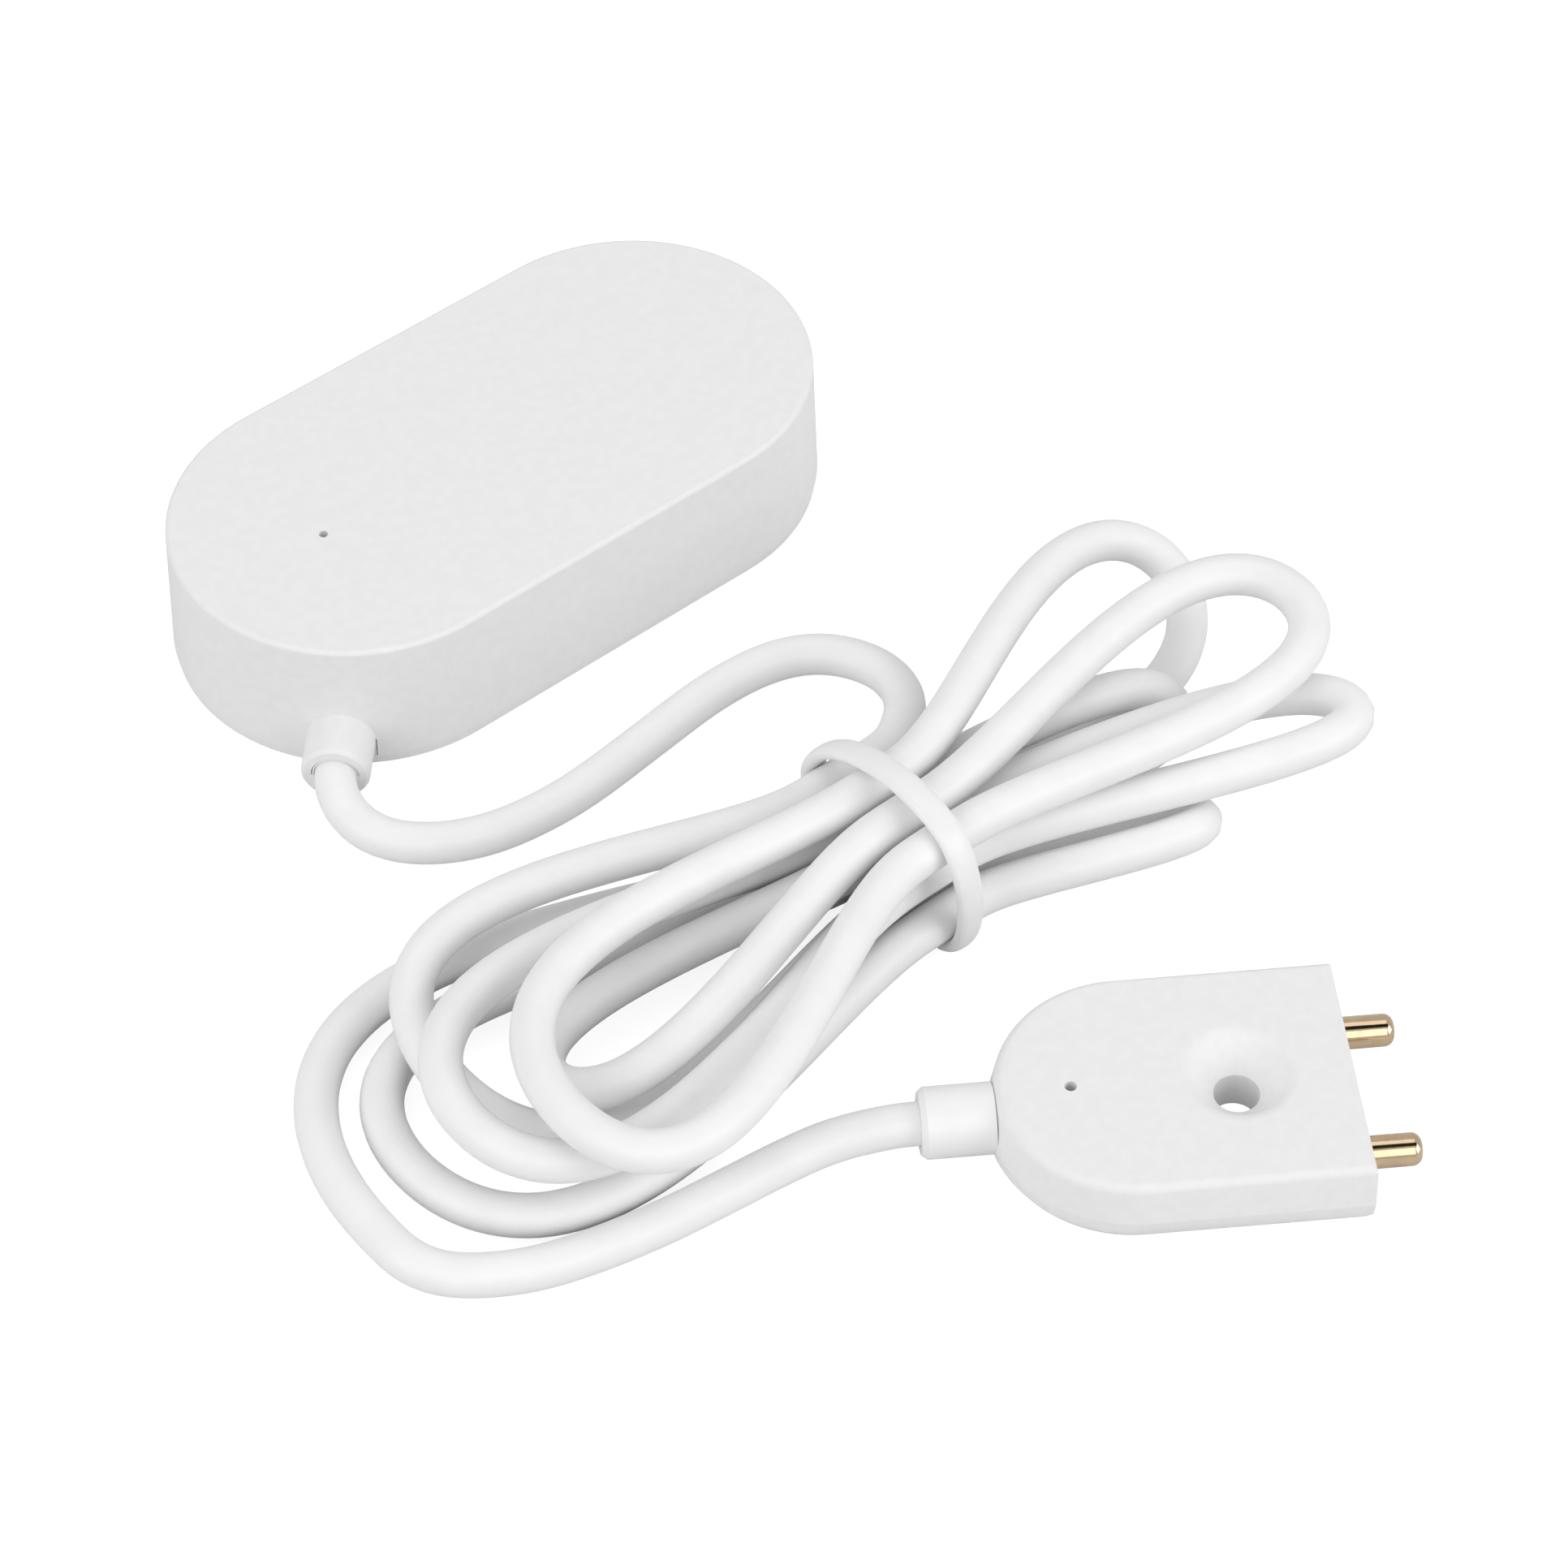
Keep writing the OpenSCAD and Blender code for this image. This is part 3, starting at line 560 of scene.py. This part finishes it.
class LeakStageSettings(bpy.types.PropertyGroup):
    """Camera, floor and light."""

    azimuth: bpy.props.FloatProperty(
        name="Azimuth", description="Camera's turn round the object, in degrees", default=-39.873)
    elevation: bpy.props.FloatProperty(
        name="Elevation", description="Camera's height above the horizon, in degrees", default=48.017)
    distance: bpy.props.FloatProperty(
        name="Distance", description="Camera to target", subtype="DISTANCE", unit="LENGTH",
        default=0.468524)
    target: bpy.props.FloatVectorProperty(
        name="Target", description="Point in the middle of the view", subtype="TRANSLATION",
        size=3, default=(0.001148, -0.042452, 0.0))
    lens: bpy.props.FloatProperty(
        name="Lens", description="Focal length on a 36 mm sensor", min=20, max=300, default=113.39)
    floor: bpy.props.FloatVectorProperty(
        name="Floor colour", description="Pale floor", subtype="COLOR", size=3, min=0, max=1,
        default=(0.4, 0.4, 0.4))
    floor_glow: bpy.props.FloatProperty(
        name="Floor glow", description="Light that the floor gives to the camera", min=0, max=2,
        default=0.85)
    sky: bpy.props.FloatProperty(
        name="Sky", description="Strength of the even light from all round", min=0, max=2, default=0.57)


class LeakSettings(bpy.types.PropertyGroup):
    """All settings of the sensor."""

    shell: bpy.props.PointerProperty(type=LeakShellSettings)
    cord: bpy.props.PointerProperty(type=LeakCordSettings)
    pins: bpy.props.PointerProperty(type=LeakPinSettings)
    stage: bpy.props.PointerProperty(type=LeakStageSettings)


# Operators


class LEAK_OT_stage(bpy.types.Operator):
    """Sets up the camera, the pale floor and the soft light"""

    bl_idname = "leak.stage"
    bl_label = "Stage"

    def execute(self, context):
        s = context.scene.leak_sensor.stage
        self.camera(context, s)

        white = self.plane(context, "floor", -FLOOR_DROP, stage_paint("floor_white", tuple(s.floor)))
        shader = white.active_material.node_tree.nodes["Principled BSDF"]
        shader.inputs["Emission Color"].default_value = GLOW_WHITE
        shader.inputs["Emission Strength"].default_value = s.floor_glow
        white.visible_diffuse = white.visible_glossy = white.visible_shadow = False
        bounce = self.plane(context, "floor_bounce", -2 * FLOOR_DROP, stage_paint("floor_pale", BOUNCE_GREY))
        bounce.visible_camera = False

        world = bpy.data.worlds.new("studio")
        world.use_nodes = True
        sky = world.node_tree.nodes["Background"]
        sky.inputs["Color"].default_value = GLOW_WHITE
        sky.inputs["Strength"].default_value = s.sky
        context.scene.world = world
        lamps = {row[0]: self.lamp(context, *row) for row in LAMPS}
        lamps["pin_softbox"].visible_diffuse = False
        flag = self.plane(context, "pin_flag", FLAG_Z, stage_paint("flag_black", FLAG_BLACK),
                          half=FLAG_HALF, at=FLAG_AT, turn=PROBE_TURN)
        flag.visible_camera = flag.visible_diffuse = flag.visible_shadow = False
        context.scene.view_settings.view_transform = "Standard"
        return {"FINISHED"}

    def camera(self, context, s):
        """The camera that sees the object as the photo does."""
        turn, rise = math.radians(s.azimuth), math.radians(s.elevation)
        back = Vector((math.sin(turn) * math.cos(rise), -math.cos(turn) * math.cos(rise), math.sin(rise)))
        lens = bpy.data.cameras.new("photo_camera")
        lens.sensor_width = FILM_WIDTH
        lens.lens = s.lens
        lens.clip_start, lens.clip_end = CLIP
        camera = bpy.data.objects.new("photo_camera", lens)
        camera.location = Vector(s.target) + back * s.distance
        camera.rotation_mode = "QUATERNION"
        camera.rotation_quaternion = (-back).to_track_quat("-Z", "Y")
        context.scene.collection.objects.link(camera)
        context.scene.camera = camera

    def plane(self, context, name, height, paint, half=FLOOR_HALF, at=(0.0, 0.0), turn=0.0):
        """A level rectangle that belongs to the stage, given by its half sides, its middle and its turn."""
        mesh = bpy.data.meshes.new(name)
        along = Vector((math.cos(turn), math.sin(turn), 0)) * half[0]
        aside = Vector((-math.sin(turn), math.cos(turn), 0)) * half[1]
        middle = Vector((*at, height))
        corners = [middle + x * along + y * aside for x, y in ((-1, -1), (1, -1), (1, 1), (-1, 1))]
        mesh.from_pydata(corners, [], [(0, 1, 2, 3)])
        made = bpy.data.objects.new(name, mesh)
        context.scene.collection.objects.link(made)
        dress(made, paint)
        return made

    def lamp(self, context, name, place, aim, size, power):
        """A square soft light that faces a point."""
        light = bpy.data.lights.new(name, "AREA")
        light.size = size
        light.energy = power
        lamp = bpy.data.objects.new(name, light)
        lamp.location = place
        lamp.rotation_euler = (Vector(aim) - Vector(place)).to_track_quat("-Z", "Y").to_euler()
        context.scene.collection.objects.link(lamp)
        return lamp


class LEAK_OT_tie(bpy.types.Operator):
    """Puts the band round the hank's waist"""

    bl_idname = "leak.tie"
    bl_label = "Tie"

    def execute(self, context):
        s = context.scene.leak_sensor.cord
        tie = surface("tie", self.band(s.tie_width / MM, s.tie_thickness / MM), wrap_rows=True)
        dress(tie, tie_white(tuple(s.tie_colour)))
        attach(tie, "base")
        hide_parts("hank_tie")
        return {"FINISHED"}

    def band(self, width, thickness, rows=240, cols=28):
        """Grid of the band: a superellipse, wide along the hank and thin across, carried along its line."""
        line = self.middle_line(thickness)
        line = line[np.linspace(0, len(line), rows, endpoint=False).astype(int)]
        ahead = np.roll(line, -1, axis=0) - np.roll(line, 1, axis=0)
        ahead /= np.linalg.norm(ahead, axis=1)[:, None]
        along = np.array([1.0, 0.0, 0.0])
        out = np.cross(ahead, along)
        ring = circle(1, cols)
        section = np.sign(ring) * np.abs(ring) ** (2 / BAND_POWER) * (width / 2, thickness / 2)
        return line[:, None] + section[None, :, :1] * along + section[None, :, 1:] * out[:, None]

    def middle_line(self, thickness):
        """Closed line through the middle of the band's thickness.

        Its support function, the reach of the strands' circles in each direction, is averaged over
        nearby directions, so the band turns evenly.
        """
        slots = np.array([hank_slot(c, r)[1:] for c, r in TIE_SLOTS])
        middle = slots.mean(axis=0)
        facing = circle(1, BAND_TURNS)
        beside = facing[:, ::-1] * (-1, 1)
        reach = (facing @ (slots - middle).T).max(axis=1) + CORD_D / 2 + BAND_LIFT + thickness / 2
        near = np.cos(np.linspace(-math.pi / 2, math.pi / 2, 2 * BAND_EASE + 1))
        wrapped = np.r_[reach[-BAND_EASE:], reach, reach[:BAND_EASE]]
        reach = np.convolve(wrapped, near / near.sum(), "valid")
        slope = (np.roll(reach, -1) - np.roll(reach, 1)) / (2 * (2 * math.pi / BAND_TURNS))
        line = middle + reach[:, None] * facing + slope[:, None] * beside
        line[:, 1] = np.maximum(line[:, 1], thickness / 2 + BAND_CLEAR)
        return even(np.c_[np.zeros(BAND_TURNS + 1), np.r_[line, line[:1]]], BAND_STEP)[:-1]


class LEAK_OT_cord(bpy.types.Operator):
    """Lays the cord from the housing through the hank to the probe"""

    bl_idname = "leak.cord"
    bl_label = "Cord"

    def execute(self, context):
        s = context.scene.leak_sensor.cord
        line = cord_line()
        cord = surface("cord", swept(line, circle(s.diameter / MM / 2, s.sides)))
        dress(cord, sheath_white(tuple(s.colour)))
        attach(cord, "base")
        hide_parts("cord_lead", "cord_hank", "cord_tail")
        return {"FINISHED"}


class LEAK_OT_housing(bpy.types.Operator):
    """Dresses the housing's base, cover and seal, and fills the sleeve's mouth"""

    bl_idname = "leak.housing"
    bl_label = "Housing"

    def execute(self, context):
        s = context.scene.leak_sensor.shell
        white = moulded_white(tuple(s.colour))
        for node, body in (("top_cover", "cover"), ("base_plate", "base"), ("cord_clamp", "base")):
            piece = smooth_copy(node, node + "_shell", s.crease)
            dress(piece, white)
            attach(piece, body)
        dress(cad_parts["cover_seal"], soft_seal(SEAL_GREY))
        bead = surface("mouth_bead", self.bead(), wrap_rows=True)
        dress(bead, bpy.data.materials["sheath_white"])
        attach(bead, "base")
        return {"FINISHED"}

    def bead(self, inner=1.96, outer=2.26, length=1.2, rows=48, cols=16):
        """Grid of the bead that fills the sleeve's mouth: an ellipse turned about the cord."""
        way = heading(OUTLET_TURN)
        side = np.array([-way[1], way[0], 0.0])
        ring = circle(1, rows)
        out = np.outer(ring[:, 0], side) + np.outer(ring[:, 1], UP)
        section = circle(1, cols)
        radius = (inner + outer) / 2 + (outer - inner) / 2 * section[:, 0]
        along = length / 2 * section[:, 1]
        middle = at_outlet(OUTLET_REACH - length / 2)
        return middle + radius[None, :, None] * out[:, None] + along[None, :, None] * way


class LEAK_OT_probe(bpy.types.Operator):
    """Dresses the probe's shells, collar and pins"""

    bl_idname = "leak.probe"
    bl_label = "Probe"

    def execute(self, context):
        s = context.scene.leak_sensor
        white = bpy.data.materials["moulded_white"]
        sheath = bpy.data.materials["sheath_white"]
        gold = plated_gold(tuple(s.pins.colour))
        for node, paint, slot in (("probe_top_shell", white, "shell_white"),
                                  ("probe_bottom_shell", white, "shell_white"),
                                  ("probe_collar", sheath, "cord_white"),
                                  ("pin_left", gold, "pin_gold"), ("pin_right", gold, "pin_gold")):
            piece = smooth_copy(node, node + "_skin", s.shell.crease)
            dress(piece, paint)
            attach(piece, "base")
        return {"FINISHED"}


class LEAK_OT_inside(bpy.types.Operator):
    """Dresses the cells, contacts, boards and wiring inside"""

    bl_idname = "leak.inside"
    bl_label = "Inside"

    def execute(self, context):
        steel = spring_steel(STEEL_GREY)
        board = solder_mask(MASK_GREEN)
        cell = cell_wrap(WRAP_BLUE, WRAP_PALE)
        nylon = plain_moulding("nylon_cream", NYLON_CREAM, roughness=0.5)
        core = plain_moulding("core_red", CORE_RED, roughness=0.4)
        black = plain_moulding("switch_black", SWITCH_BLACK, roughness=0.45)
        lens = plain_moulding("lamp_lens", LENS_CLEAR, roughness=0.15)
        paints = {
            steel: ("contact_spring", "contact_plate", "contact_bridge",
                    "board_screws", "radio_module", "pin_links"),
            board: ("main_board", "probe_board"),
            cell: ("battery_left", "battery_right"),
            nylon: ("reset_plunger", "lead_socket", "lead_plug"),
            core: ("lead_conductors", "probe_conductors"),
            black: ("reset_switch",),
            lens: ("status_led",),
            bpy.data.materials["plated_gold"]: ("antenna",),
        }
        for paint, nodes in paints.items():
            for node in nodes:
                dress(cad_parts[node], paint)
        return {"FINISHED"}


class LEAK_PT_panel(bpy.types.Panel):
    """Lists the sensor's settings and steps"""

    bl_idname = "LEAK_PT_panel"
    bl_label = "Leak sensor"
    bl_space_type = "VIEW_3D"
    bl_region_type = "UI"
    bl_category = "Leak sensor"

    def draw(self, context):
        s = context.scene.leak_sensor
        for group in (s.shell, s.cord, s.pins, s.stage):
            box = self.layout.box()
            for key in group.__annotations__:
                box.prop(group, key)
        for step in STEPS:
            self.layout.operator(step.bl_idname)


STEPS = (LEAK_OT_stage, LEAK_OT_tie, LEAK_OT_cord, LEAK_OT_housing, LEAK_OT_probe, LEAK_OT_inside)
CLASSES = (LeakShellSettings, LeakCordSettings, LeakPinSettings, LeakStageSettings, LeakSettings,
           *STEPS, LEAK_PT_panel)


def register():
    """Registers the classes and hangs the settings on the scene."""
    for kind in CLASSES:
        bpy.utils.register_class(kind)
    bpy.types.Scene.leak_sensor = bpy.props.PointerProperty(type=LeakSettings)


def unregister():
    """Takes the settings and the classes away again."""
    del bpy.types.Scene.leak_sensor
    for kind in reversed(CLASSES):
        bpy.utils.unregister_class(kind)


def main():
    """Registers the add-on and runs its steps."""
    register()
    bpy.ops.leak.stage()
    bpy.ops.leak.tie()
    bpy.ops.leak.cord()
    bpy.ops.leak.housing()
    bpy.ops.leak.probe()
    bpy.ops.leak.inside()


if __name__ == "__main__":
    main()
